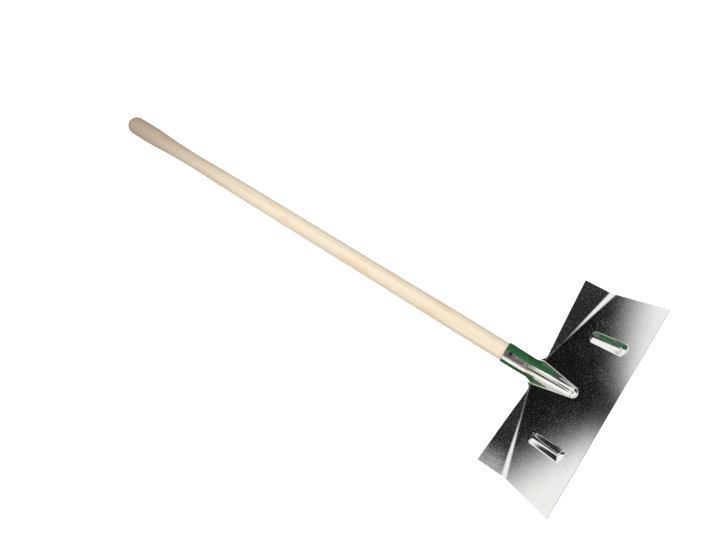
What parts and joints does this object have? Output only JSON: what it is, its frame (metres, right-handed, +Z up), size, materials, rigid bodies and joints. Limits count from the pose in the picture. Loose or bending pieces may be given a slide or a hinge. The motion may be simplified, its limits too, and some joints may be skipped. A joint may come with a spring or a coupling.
{
  "type": "roofing shovel",
  "caption": "Roofing shovel: wide flat steel blade with raised ribs and bent-up rear corners, green rolled socket welded to it, and a straight ash handle with a bulb end.",
  "frame": {"origin": "On the ground under the middle of the tool's box, with the tool lying face up on the mouth of its socket and the bulb of its handle", "axes": "+Y along the tool towards the blade's leading edge, +Z up, +X across the blade"},
  "size_m": [0.45, 1.1636, 0.0861],
  "materials": {
    "blade_steel": "bright pressed and polished steel sheet with fine scuffs",
    "socket_enamel": "dark green enamel, worn bare along the crest and the nose",
    "weld_steel": "ground fillet weld",
    "ash_wood": "pale ash with straight grain and a satin clear coat",
    "screw_steel": "blackened steel"
  },
  "bodies": {
    "root": {"blade": "blade_steel", "socket": "socket_enamel", "socket_weld": "weld_steel", "handle": "ash_wood", "handle_screw": "screw_steel"}
  },
  "joints": []
}
